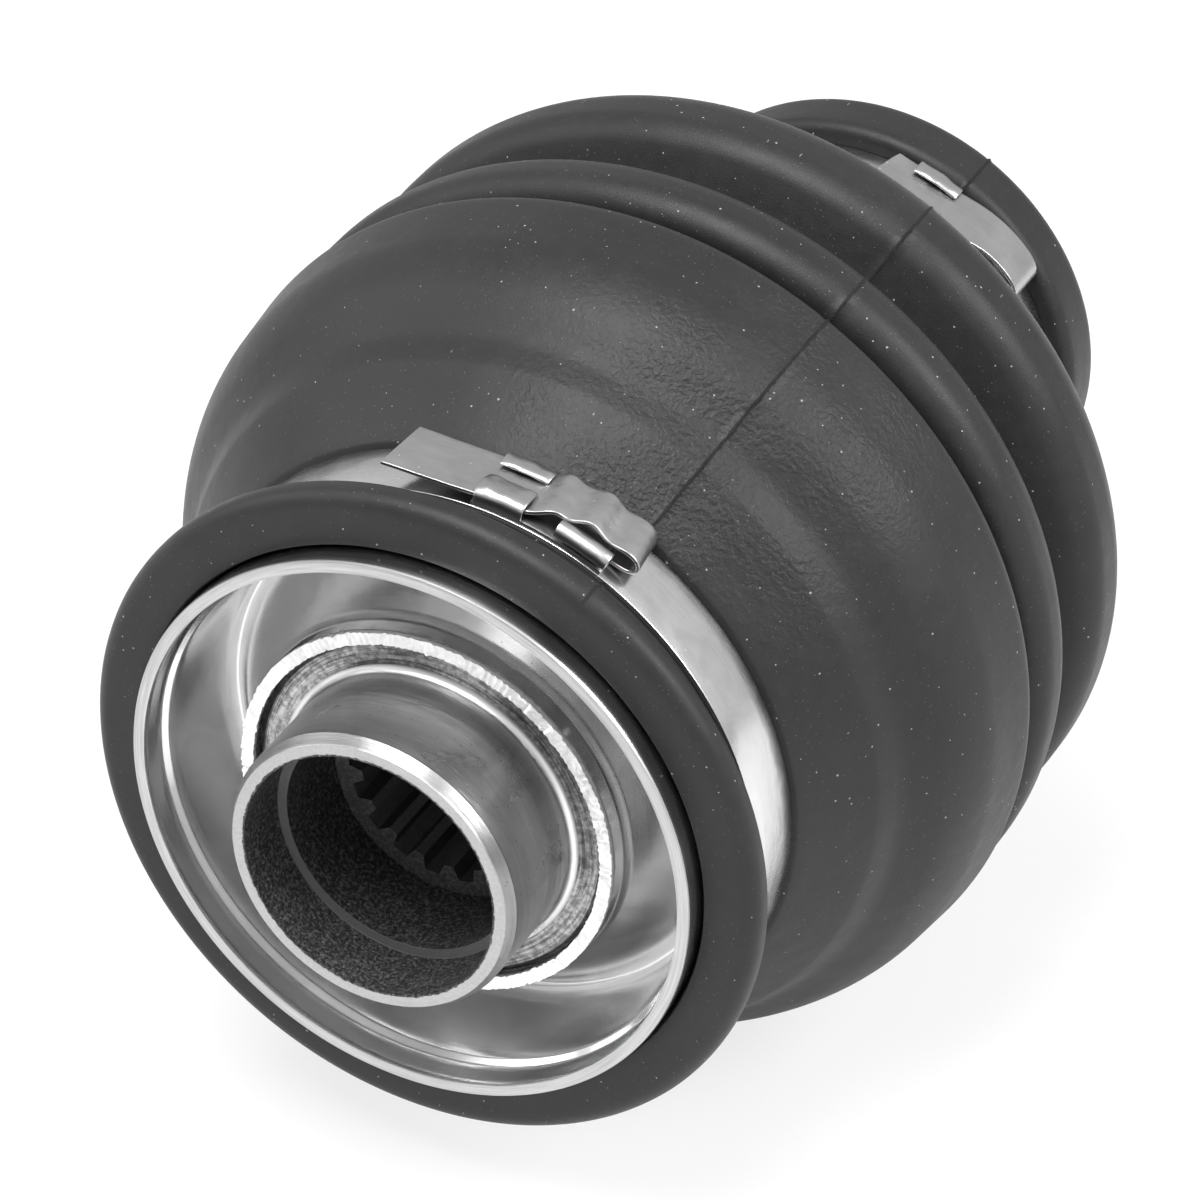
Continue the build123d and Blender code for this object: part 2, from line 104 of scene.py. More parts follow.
def parallel(corners: list[Corner], wall: float) -> list[Corner]:
    """Move a line to its left, with each bend kept concentric.

    Args:
        corners: The line's corners.
        wall: How far the line moves to its left.

    Returns:
        The corners of the moved line, in the same order.
    """
    moved = []
    for index, corner in enumerate(corners):
        here = Vector((corner.radius, corner.place))
        before = Vector(corners[index - 1][:2]) if index else None
        after = Vector(corners[index + 1][:2]) if index + 1 < len(corners) else None
        into = (here - before).normalized() if before is not None else (after - here).normalized()
        away = (after - here).normalized() if after is not None else into
        left_in = Vector((-into.y, into.x))
        left_out = Vector((-away.y, away.x))
        place = here + (left_in + left_out) * (wall / (1 + left_in.dot(left_out)))
        turn = into.x * away.y - into.y * away.x
        bend = max(corner.bend - wall * (1 if turn > 0 else -1), 0.0) if corner.bend else 0.0
        moved.append(Corner(place.x, place.y, bend))
    return moved


def gap_to_line(point: Vector, corners: list[Corner]) -> float:
    """Distance in mm from a point of (radius, place) to a line of corners.

    Args:
        point: The point in the plane of the line.
        corners: The line's corners.

    Returns:
        The shortest distance to any of the line's runs.
    """
    best = 1e9
    for first, second in zip(corners, corners[1:]):
        start = Vector(first[:2])
        run = Vector(second[:2]) - start
        share = min(max((point - start).dot(run) / max(run.length_squared, 1e-9), 0.0), 1.0)
        best = min(best, (point - start - run * share).length)
    return best


class Bench:
    """One mesh on the bench, shaped in edit mode with the modelling operators."""

    def __init__(self, name: str) -> None:
        """Clear the bench for a piece of this name."""
        if bpy.context.object is not None and bpy.context.object.mode != "OBJECT":
            bpy.ops.object.mode_set(mode="OBJECT")
        bpy.ops.object.select_all(action="DESELECT")
        self.name = name
        self.piece: Optional[Piece] = None

    def _take(self) -> None:
        """Take the primitive that was just added, name it and open it in edit mode."""
        self.piece = bpy.context.object
        self.piece.name = self.name
        self.piece.data.name = self.name
        bpy.ops.object.transform_apply(location=True, rotation=True, scale=True)
        bpy.ops.object.mode_set(mode="EDIT")
        bpy.ops.mesh.select_mode(type="VERT")
        bpy.ops.mesh.select_all(action="SELECT")

    def point(self, place: Vector) -> None:
        """Start with one point, in mm."""
        bpy.ops.mesh.primitive_plane_add(size=MM, location=place * MM)
        self._take()
        bpy.ops.mesh.merge(type="CENTER")

    def shape(self) -> bmesh.types.BMesh:
        """The mesh that is being edited."""
        return bmesh.from_edit_mesh(self.piece.data)

    def pick(self, test: Callable[[Vector], bool]) -> int:
        """Select the points whose place in mm passes a test.

        Args:
            test: Takes a place in mm and says whether it is wanted.

        Returns:
            How many points are selected.
        """
        bpy.ops.mesh.select_mode(type="VERT")
        bpy.ops.mesh.select_all(action="DESELECT")
        shape = self.shape()
        chosen = [vertex for vertex in shape.verts if test(vertex.co / MM)]
        for vertex in chosen:
            vertex.select_set(True)
        shape.select_flush(True)
        bmesh.update_edit_mesh(self.piece.data)
        return len(chosen)

    def pick_edges(self, test: Callable[[Vector, Vector], bool]) -> int:
        """Select the edges whose two ends in mm pass a test.

        Args:
            test: Takes the places of an edge's two ends in mm.

        Returns:
            How many edges are selected.
        """
        bpy.ops.mesh.select_all(action="DESELECT")
        bpy.ops.mesh.select_mode(type="EDGE")
        shape = self.shape()
        chosen = [edge for edge in shape.edges if test(edge.verts[0].co / MM, edge.verts[1].co / MM)]
        for edge in chosen:
            edge.select_set(True)
        bmesh.update_edit_mesh(self.piece.data)
        return len(chosen)

    def extrude(self, step: Vector) -> None:
        """Extrude what is selected by a step in mm."""
        bpy.ops.mesh.extrude_region_move(TRANSFORM_OT_translate={"value": step * MM})

    def draw(self, corners: list[Corner], closed: bool) -> None:
        """Draw a line in the plane of the shaft, extruded from corner to corner.

        Args:
            corners: The line's corners.
            closed: Whether its last corner is joined to its first.
        """
        self.point(Vector((corners[0].radius, corners[0].place, 0)))
        for before, after in zip(corners, corners[1:]):
            self.extrude(Vector((after.radius - before.radius, after.place - before.place, 0)))
        if closed:
            ends = (corners[0], corners[-1])
            self.pick(lambda at: any(abs(at.x - c.radius) + abs(at.y - c.place) < 1e-3 for c in ends))
            bpy.ops.mesh.edge_face_add()

    def round_corners(self, corners: list[Corner], closed: bool, arc_step: float) -> None:
        """Bevel each corner of a drawn line to its bend.

        Args:
            corners: The line's corners.
            closed: Whether the line is closed.
            arc_step: Length in mm of one step of an arc.
        """
        count = len(corners)
        for index, corner in enumerate(corners):
            if not corner.bend or (not closed and index in (0, count - 1)):
                continue
            here = Vector(corner[:2])
            into = (here - Vector(corners[index - 1][:2])).normalized()
            away = (Vector(corners[(index + 1) % count][:2]) - here).normalized()
            turn = into.angle(away)
            reach = corner.bend * tan(turn / 2)
            self.pick(lambda at: abs(at.x - here.x) + abs(at.y - here.y) < 1e-3)
            steps = max(2, min(24, round(corner.bend * turn / arc_step)))
            bpy.ops.mesh.bevel(offset_type="OFFSET", offset=reach * MM, segments=steps, profile=0.5,
                               affect="VERTICES", clamp_overlap=False)

    def even_out(self, longest: float) -> None:
        """Halve the edges until none is longer than a length in mm."""
        while self.pick_edges(lambda a, b: (a - b).length > longest):
            bpy.ops.mesh.subdivide(number_cuts=1)
        bpy.ops.mesh.select_mode(type="VERT")

    def spin(self, steps: int) -> None:
        """Spin the drawn line once round the shaft and merge where it meets itself."""
        bpy.ops.mesh.select_all(action="SELECT")
        bpy.ops.mesh.spin(steps=steps, angle=tau, center=(0, 0, 0), axis=(0, 1, 0), use_auto_merge=True)
        bpy.ops.mesh.select_all(action="SELECT")
        bpy.ops.mesh.remove_doubles(threshold=1e-6)
        bpy.ops.mesh.normals_make_consistent(inside=False)

    def roughen(self, amount: float, seed: int, along_normal: float = 0.0) -> None:
        """Move the selected points at random by up to an amount in mm."""
        bpy.ops.transform.vertex_random(offset=amount * MM, uniform=0.0, normal=along_normal, seed=seed)

    def push(self, step: Vector, reach: float) -> None:
        """Move the selected points by a step in mm, and fade it out over a reach in mm."""
        bpy.ops.transform.translate(value=step * MM, use_proportional_edit=True,
                                    proportional_edit_falloff="SMOOTH", proportional_size=reach * MM)

    def modify(self, kind: str, **settings: object) -> None:
        """Add a modifier in object mode and apply it."""
        if self.piece.mode != "OBJECT":
            bpy.ops.object.mode_set(mode="OBJECT")
        bpy.ops.object.select_all(action="DESELECT")
        self.piece.select_set(True)
        bpy.context.view_layer.objects.active = self.piece
        modifier = self.piece.modifiers.new(kind.title(), kind)
        for key, setting in settings.items():
            setattr(modifier, key, setting)
        bpy.ops.object.modifier_apply(modifier=modifier.name)

    def lift(self, angle: float = 32.0) -> Piece:
        """Leave edit mode and shade the piece smooth up to an angle in degrees.

        Args:
            angle: Edges that turn by more stay sharp.

        Returns:
            The finished piece.
        """
        if self.piece.mode != "OBJECT":
            bpy.ops.object.mode_set(mode="OBJECT")
        bpy.ops.object.select_all(action="DESELECT")
        self.piece.select_set(True)
        bpy.context.view_layer.objects.active = self.piece
        bpy.ops.object.shade_smooth_by_angle(angle=radians(angle))
        return self.piece


class Graph:
    """A material's node tree, built with short calls."""

    def __init__(self, name: str) -> None:
        """Make the material with its one shader."""
        self.material = bpy.data.materials.new(name)
        self.material.use_nodes = True
        self.tree = self.material.node_tree
        self.shader = self.tree.nodes["Principled BSDF"]

    def feed(self, target: Socket, value: object) -> None:
        """Link a socket, or write a value on it."""
        if isinstance(value, bpy.types.NodeSocket):
            self.tree.links.new(value, target)
        else:
            target.default_value = value

    def node(self, kind: str, **settings: object) -> bpy.types.Node:
        """Add a node and set its options."""
        made = self.tree.nodes.new(kind)
        for key, setting in settings.items():
            setattr(made, key, setting)
        return made

    def math(self, operation: str, first: Value, second: Value = 0.0, third: Value = 0.0) -> Socket:
        """One step of arithmetic."""
        made = self.node("ShaderNodeMath", operation=operation)
        for target, value in zip(made.inputs, (first, second, third)):
            self.feed(target, value)
        return made.outputs[0]

    def step(self, value: Value, low: float, high: float) -> Socket:
        """A smooth step that is 0 at `low` and 1 at `high`, which may be the smaller of the two."""
        made = self.node("ShaderNodeMapRange", interpolation_type="SMOOTHSTEP")
        flip = low > high
        self.feed(made.inputs["Value"], value)
        self.feed(made.inputs["From Min"], min(low, high))
        self.feed(made.inputs["From Max"], max(low, high))
        self.feed(made.inputs["To Min"], 1.0 if flip else 0.0)
        self.feed(made.inputs["To Max"], 0.0 if flip else 1.0)
        return made.outputs["Result"]

    def between(self, value: Value, low: float, high: float, soft: float) -> Socket:
        """1 between two values and 0 outside them, with soft ends."""
        return self.math("MULTIPLY", self.step(value, low - soft, low + soft),
                         self.step(value, high + soft, high - soft))

    def blend(self, share: Value, first: Value, second: Value) -> Socket:
        """A number between two others."""
        made = self.node("ShaderNodeMix", data_type="FLOAT")
        self.feed(made.inputs[0], share)
        self.feed(made.inputs[2], first)
        self.feed(made.inputs[3], second)
        return made.outputs[0]

    def vector(self, x: Value, y: Value, z: Value) -> Socket:
        """A vector of three values."""
        made = self.node("ShaderNodeCombineXYZ")
        for target, value in zip(made.inputs, (x, y, z)):
            self.feed(target, value)
        return made.outputs[0]

    def grey(self, value: Value) -> Socket:
        """A neutral colour of one level."""
        made = self.node("ShaderNodeCombineColor")
        for target in made.inputs:
            self.feed(target, value)
        return made.outputs[0]

    def noise(self, place: Socket, scale: float, detail: float = 2.0, rough: float = 0.5,
              twist: float = 0.0) -> Socket:
        """Noise from 0 to 1, with its scale in features per mm."""
        made = self.node("ShaderNodeTexNoise")
        self.feed(made.inputs["Vector"], place)
        self.feed(made.inputs["Scale"], scale)
        self.feed(made.inputs["Detail"], detail)
        self.feed(made.inputs["Roughness"], rough)
        self.feed(made.inputs["Distortion"], twist)
        return made.outputs["Fac"]

    def cells(self, place: Socket, scale: float) -> tuple[Socket, Socket]:
        """Distance to the nearest of scattered points, and that point's random value."""
        made = self.node("ShaderNodeTexVoronoi", feature="F1")
        self.feed(made.inputs["Vector"], place)
        self.feed(made.inputs["Scale"], scale)
        parts = self.node("ShaderNodeSeparateColor")
        self.feed(parts.inputs[0], made.outputs["Color"])
        return made.outputs["Distance"], parts.outputs[0]

    def specks(self, place: Socket, scale: float, size: float, share: float) -> Socket:
        """Scattered specks: 1 in a speck and 0 elsewhere."""
        distance, chance = self.cells(place, scale)
        reach = self.math("MULTIPLY", chance, size)
        inside = self.math("LESS_THAN", distance, reach)
        return self.math("MULTIPLY", inside, self.math("GREATER_THAN", chance, 1.0 - share))

    def bump(self, height: Socket, distance: float, strength: float = 1.0,
             under: Optional[Socket] = None) -> Socket:
        """Turn a height into a normal, with its full height in mm."""
        made = self.node("ShaderNodeBump")
        self.feed(made.inputs["Height"], height)
        self.feed(made.inputs["Distance"], distance * MM)
        self.feed(made.inputs["Strength"], strength)
        if under is not None:
            self.feed(made.inputs["Normal"], under)
        return made.outputs["Normal"]

    def place(self, attribute: Optional[str] = None) -> Socket:
        """The point's place in mm: from the object's own coordinates, or from an attribute."""
        if attribute:
            source = self.node("ShaderNodeAttribute", attribute_name=attribute).outputs["Vector"]
        else:
            source = self.node("ShaderNodeTexCoord").outputs["Object"]
        scaled = self.node("ShaderNodeVectorMath", operation="SCALE")
        self.feed(scaled.inputs[0], source)
        self.feed(scaled.inputs["Scale"], 1 / MM)
        return scaled.outputs[0]

    def polar(self, place: Socket) -> "Polar":
        """Radius, place along the shaft and direction round it."""
        parts = self.node("ShaderNodeSeparateXYZ")
        self.feed(parts.inputs[0], place)
        x, y, z = parts.outputs
        square = self.math("ADD", self.math("MULTIPLY", x, x), self.math("MULTIPLY", z, z))
        radius = self.math("SQRT", self.math("MAXIMUM", square, 1e-6))
        return Polar(radius, y, self.math("DIVIDE", x, radius), self.math("DIVIDE", z, radius), x, z)

    def finish(self, colour: Socket, rough: Value, normal: Optional[Socket] = None,
               **constants: float) -> bpy.types.Material:
        """Feed the shader and return the material.

        Args:
            colour: The base colour.
            rough: The roughness.
            normal: The bumped normal.
            **constants: Values written on the shader's other sockets, by their names with underscores.

        Returns:
            The finished material.
        """
        self.feed(self.shader.inputs["Base Color"], colour)
        self.feed(self.shader.inputs["Roughness"], rough)
        if normal is not None:
            self.feed(self.shader.inputs["Normal"], normal)
        for key, value in constants.items():
            self.feed(self.shader.inputs[key.replace("_", " ")], value)
        return self.material


class Polar(NamedTuple):
    """Sockets of a point's place round the shaft, in mm."""

    radius: Socket
    along: Socket
    east: Socket
    north: Socket
    x: Socket
    z: Socket


@dataclass(frozen=True)
class MouldedRubber:
    """Black moulded rubber: satin, dusty, leathery beside its mould seam."""

    level: float = 0.015
    roughness: float = 0.46
    seam_angle: float = 60.0
    attribute: Optional[str] = REST_PLACE
    leather_front: float = 28.0
    leather_rear: float = 61.0
    leather_reach: float = 30.0
    collar_rear: float = 15.1
    collar_edge: float = 39.6

    def material(self, name: str) -> bpy.types.Material:
        """Build the material under a name."""
        graph = Graph(name)
        place = graph.place(self.attribute)
        polar = graph.polar(place)
        east, north = cos(radians(self.seam_angle)), sin(radians(self.seam_angle))
        side = graph.math("SUBTRACT", graph.math("MULTIPLY", polar.x, north),
                          graph.math("MULTIPLY", polar.z, east))
        off_seam = graph.math("ABSOLUTE", side)
        ragged = graph.math("MULTIPLY_ADD", graph.noise(place, 1.3, 3.0), 0.46, -0.02)
        seam = graph.math("LESS_THAN", off_seam, ragged)
        behind = graph.step(polar.along, self.collar_rear - 0.3, self.collar_rear)
        outermost = graph.step(polar.radius, self.collar_edge, self.collar_edge + 0.3)
        seam = graph.math("MULTIPLY", seam, graph.math("MAXIMUM", behind, outermost))

        cloudy = graph.noise(place, 0.05, 3.0, 0.55)
        mottle = graph.noise(place, 0.55, 4.0, 0.6)
        level = graph.math("MULTIPLY_ADD", cloudy, 0.010, self.level - 0.005)
        level = graph.math("MULTIPLY", level, graph.math("MULTIPLY_ADD", mottle, 0.5, 0.75))
        level = graph.blend(graph.math("MULTIPLY", seam, 0.75), level, 0.006)
        dust = graph.specks(place, 0.75, 0.10, 0.55)
        fine = graph.specks(place, 1.9, 0.16, 0.45)
        lint_place = graph.node("ShaderNodeMapping")
        lint_place.inputs["Rotation"].default_value = (0.6, 0.3, 0.9)
        lint_place.inputs["Scale"].default_value = (1.0, 0.22, 1.0)
        graph.feed(lint_place.inputs["Vector"], place)
        lint = graph.specks(lint_place.outputs[0], 0.5, 0.05, 0.35)
        level = graph.blend(graph.math("MULTIPLY", fine, 0.30), level, 0.16)
        level = graph.blend(graph.math("MULTIPLY", dust, 0.75), level, 0.30)
        level = graph.blend(graph.math("MULTIPLY", lint, 0.45), level, 0.22)

        near = graph.step(off_seam, self.leather_reach, 3.0)
        near = graph.math("MULTIPLY", near, graph.between(polar.along, self.leather_front,
                                                          self.leather_rear, 3.0))
        patchy = graph.step(graph.noise(place, 0.09, 2.0), 0.32, 0.62)
        near = graph.math("MULTIPLY", near, graph.math("MULTIPLY_ADD", patchy, 0.7, 0.3))
        leather = graph.noise(place, 1.5, 2.0, 0.5, 0.3)
        pores = graph.noise(place, 4.5, 3.0, 0.6)
        height = graph.math("MULTIPLY", leather, near)
        normal = graph.bump(height, 0.30)
        normal = graph.bump(pores, 0.026, under=normal)
        normal = graph.bump(graph.noise(place, 0.16, 2.0), 0.14, under=normal)
        rough = graph.math("MULTIPLY_ADD", mottle, 0.16, self.roughness - 0.08)
        rough = graph.blend(graph.math("MAXIMUM", dust, seam), rough, 0.75)
        return graph.finish(graph.grey(level), rough, normal, Specular_IOR_Level=0.24)


@dataclass(frozen=True)
class TurnedSteel:
    """Turned and brushed steel for the yokes, with its rough hole painted very dark as painted shade,
    painted glints in it and a painted highlight on its step.
    """

    level: float = 0.40
    roughness: float = 0.30
    bore_radius: float = 15.1
    face: float = 0.0
    step_place: float = 7.4
    spline_place: float = 18.2
    shoulder: float = 14.0
    shoulder_radius: float = 17.25
    chamfer: float = 1.4

    def material(self, name: str) -> bpy.types.Material:
        """Build the material under a name."""
        graph = Graph(name)
        place = graph.place()
        polar = graph.polar(place)
        run = graph.math("ADD", polar.along, polar.radius)
        lines = graph.vector(graph.math("MULTIPLY", polar.east, 3.0),
                             graph.math("MULTIPLY", polar.north, 3.0), graph.math("MULTIPLY", run, 4.0))
        brushed = graph.noise(lines, 1.6, 4.0, 0.65)
        coarse = graph.vector(graph.math("MULTIPLY", polar.east, 1.2),
                              graph.math("MULTIPLY", polar.north, 1.2), graph.math("MULTIPLY", run, 1.1))
        bands = graph.noise(coarse, 1.0, 2.0, 0.5)
        stain = graph.noise(place, 0.16, 4.0, 0.6, 0.6)
        pits = graph.specks(place, 1.4, 0.13, 0.22)
        level = graph.math("MULTIPLY_ADD", brushed, 0.16, self.level - 0.08)
        level = graph.math("MULTIPLY", level, graph.math("MULTIPLY_ADD", bands, 0.35, 0.82))
        level = graph.math("MULTIPLY", level, graph.math("MULTIPLY_ADD", stain, 0.5, 0.75))
        level = graph.blend(graph.math("MULTIPLY", pits, 0.7), level, 0.05)
        at_front = graph.step(polar.along, self.face + self.chamfer + 0.2, self.face + self.chamfer)
        level = graph.math("MULTIPLY", level, graph.blend(at_front, 1.0, 0.60))

        # Painted shade: the hole is painted very dark over its grit texture, and the bright specks in it are
        # painted glints.
        rag = graph.math("MULTIPLY_ADD", graph.noise(place, 1.5, 3.0), 0.5, -0.25)
        ragged_radius = graph.math("ADD", polar.radius, rag)
        in_hole = graph.step(ragged_radius, self.bore_radius + 0.30, self.bore_radius + 0.12)
        grit = graph.noise(place, 2.4, 5.0, 0.75)
        glints = graph.specks(place, 1.5, 0.16, 0.30)
        painted_bore_shade_and_highlights = graph.math("MULTIPLY_ADD", graph.step(grit, 0.42, 0.72), 0.20, 0.035)
        painted_bore_shade_and_highlights = graph.blend(graph.math("MULTIPLY", glints, 0.6), painted_bore_shade_and_highlights, 0.45)
        # Painted highlight: the step inside the hole is painted lighter, for the light that catches its
        # edge.
        painted_step_highlight = graph.between(polar.along, self.step_place - 0.12, self.step_place + 0.10, 0.05)
        painted_bore_shade_and_highlights = graph.blend(painted_step_highlight, painted_bore_shade_and_highlights, 0.20)
        # The spline teeth deep in the hole are painted dark as well, as painted shade.
        teeth = graph.step(polar.along, self.spline_place - 0.1, self.spline_place + 0.1)
        painted_bore_shade_and_highlights = graph.blend(teeth, painted_bore_shade_and_highlights, graph.math("MULTIPLY_ADD", grit, 0.20, 0.08))
        level = graph.blend(in_hole, level, painted_bore_shade_and_highlights)

        edge = graph.step(polar.along, self.face + 0.22, self.face + 0.05)
        edge = graph.math("MULTIPLY", edge, graph.step(in_hole, 0.5, 0.2))
        level = graph.blend(graph.math("MULTIPLY", edge, 0.45), level,
                            graph.math("MULTIPLY_ADD", grit, 0.5, 0.25))
        root = graph.between(polar.along, self.shoulder - 0.75, self.shoulder + 0.05, 0.12)
        root = graph.math("MULTIPLY", root, graph.step(polar.radius, self.shoulder_radius + 0.9,
                                                       self.shoulder_radius + 0.5))
        root = graph.math("MULTIPLY", root, graph.step(polar.radius, self.shoulder_radius + 0.02,
                                                       self.shoulder_radius + 0.12))
        level = graph.blend(graph.math("MULTIPLY", root, 0.6), level, 0.80)
        # The shoulder at the foot of the sleeve, deep inside the cup, is painted darker, with turned rings
        # and blotches.
        on_shoulder = graph.between(polar.radius, self.shoulder_radius + 0.9,
                                    self.shoulder_radius + 4.3, 0.1)
        on_shoulder = graph.math("MULTIPLY", on_shoulder, graph.between(polar.along, self.shoulder - 0.3,
                                                                        self.shoulder + 1.2, 0.1))
        rings = graph.vector(graph.math("MULTIPLY", polar.east, 1.5),
                             graph.math("MULTIPLY", polar.north, 1.5), graph.math("MULTIPLY", run, 2.6))
        cuts = graph.step(graph.noise(rings, 1.0, 4.0, 0.7), 0.35, 0.62)
        dirt = graph.step(graph.noise(place, 1.2, 4.0, 0.7), 0.40, 0.62)
        darker_shoulder = graph.math("MULTIPLY", graph.math("MULTIPLY_ADD", cuts, 0.30, 0.10),
                          graph.math("MULTIPLY_ADD", dirt, 0.55, 0.5))
        level = graph.blend(on_shoulder, level, darker_shoulder)

        bright = graph.math("SUBTRACT", 1.0, in_hole)
        rough = graph.math("MULTIPLY_ADD", stain, 0.18, self.roughness - 0.09)
        rough = graph.blend(in_hole, rough, 0.62)
        rough = graph.blend(teeth, rough, 0.42)
        normal = graph.bump(graph.math("MULTIPLY", brushed, bright), 0.030)
        normal = graph.bump(graph.math("MULTIPLY", bands, bright), 0.05, under=normal)
        normal = graph.bump(graph.math("MULTIPLY", grit, in_hole), 0.16, under=normal)
        return graph.finish(graph.grey(level), rough, normal, Metallic=1.0)


@dataclass(frozen=True)
class DrawnSteel:
    """Bright drawn sheet, nearly a mirror, with a cut rim and a torn edge at its neck."""

    level: float = 0.60
    roughness: float = 0.16
    rim_place: float = 8.5
    neck_radius: float = 22.73
    neck_place: float = 12.9

    def material(self, name: str) -> bpy.types.Material:
        """Build the material under a name."""
        graph = Graph(name)
        place = graph.place()
        polar = graph.polar(place)
        run = graph.math("ADD", polar.along, polar.radius)
        lines = graph.vector(graph.math("MULTIPLY", polar.east, 4.0),
                             graph.math("MULTIPLY", polar.north, 4.0), graph.math("MULTIPLY", run, 5.0))
        drawn = graph.noise(lines, 1.2, 3.0, 0.6)
        smear = graph.noise(place, 0.10, 3.0, 0.55, 0.8)
        pits = graph.specks(place, 0.8, 0.07, 0.25)
        level = graph.math("MULTIPLY_ADD", drawn, 0.08, self.level - 0.04)
        level = graph.math("MULTIPLY", level, graph.math("MULTIPLY_ADD", smear, 0.36, 0.82))
        level = graph.blend(graph.math("MULTIPLY", pits, 0.8), level, 0.05)
        rim = graph.step(polar.along, self.rim_place + 0.45, self.rim_place + 0.1)
        level = graph.blend(rim, level, graph.math("MULTIPLY_ADD", drawn, 0.36, 0.24))
        torn = graph.math("MULTIPLY",
                          graph.step(polar.along, self.neck_place + 0.75, self.neck_place + 0.35),
                          graph.step(polar.radius, self.neck_radius + 0.6, self.neck_radius + 0.2))
        tooth = graph.noise(place, 1.8, 3.0, 0.6)
        level = graph.blend(torn, level, graph.math("MULTIPLY_ADD", tooth, 0.35, 0.66))
        rough = graph.math("MULTIPLY_ADD", smear, 0.14, self.roughness - 0.07)
        rough = graph.blend(rim, rough, 0.42)
        rough = graph.blend(torn, rough, 0.50)
        normal = graph.bump(graph.noise(place, 0.07, 1.0), 0.20)
        normal = graph.bump(drawn, 0.006, under=normal)
        normal = graph.bump(graph.math("MULTIPLY", tooth, torn), 0.12, under=normal)
        return graph.finish(graph.grey(level), rough, normal, Metallic=1.0)


@dataclass(frozen=True)
class StainlessStrip:
    """Rolled stainless strip: smooth, with fine scratches along it and a few scuffs."""

    level: float = 0.56
    roughness: float = 0.22
    dents: float = 0.04

    def material(self, name: str) -> bpy.types.Material:
        """Build the material under a name."""
        graph = Graph(name)
        place = graph.place()
        polar = graph.polar(place)
        lines = graph.vector(graph.math("MULTIPLY", polar.east, 2.0),
                             graph.math("MULTIPLY", polar.north, 2.0),
                             graph.math("MULTIPLY", polar.along, 3.2))
        rolled = graph.noise(lines, 1.6, 4.0, 0.65)
        smear = graph.noise(place, 0.22, 3.0, 0.6, 0.5)
        scuffs = graph.specks(place, 0.7, 0.10, 0.20)
        level = graph.math("MULTIPLY_ADD", rolled, 0.10, self.level - 0.05)
        level = graph.math("MULTIPLY", level, graph.math("MULTIPLY_ADD", smear, 0.34, 0.83))
        level = graph.blend(graph.math("MULTIPLY", scuffs, 0.6), level, 0.78)
        rough = graph.math("MULTIPLY_ADD", smear, 0.16, self.roughness - 0.08)
        normal = graph.bump(rolled, 0.008)
        normal = graph.bump(graph.noise(place, 0.35, 2.0), self.dents, under=normal)
        return graph.finish(graph.grey(level), rough, normal, Metallic=1.0)


@dataclass(frozen=True)
class PlainSteel:
    """Ground or oiled steel of the pieces inside the boot."""

    level: float = 0.52
    roughness: float = 0.24
    grain: float = 3.0

    def material(self, name: str) -> bpy.types.Material:
        """Build the material under a name."""
        graph = Graph(name)
        place = graph.place()
        ground = graph.noise(place, self.grain, 4.0, 0.6)
        oil = graph.noise(place, 0.18, 3.0, 0.55, 0.5)
        level = graph.math("MULTIPLY_ADD", ground, 0.12, self.level - 0.06)
        level = graph.math("MULTIPLY", level, graph.math("MULTIPLY_ADD", oil, 0.5, 0.75))
        rough = graph.math("MULTIPLY_ADD", oil, 0.2, self.roughness - 0.1)
        return graph.finish(graph.grey(level), rough, graph.bump(ground, 0.012), Metallic=1.0)


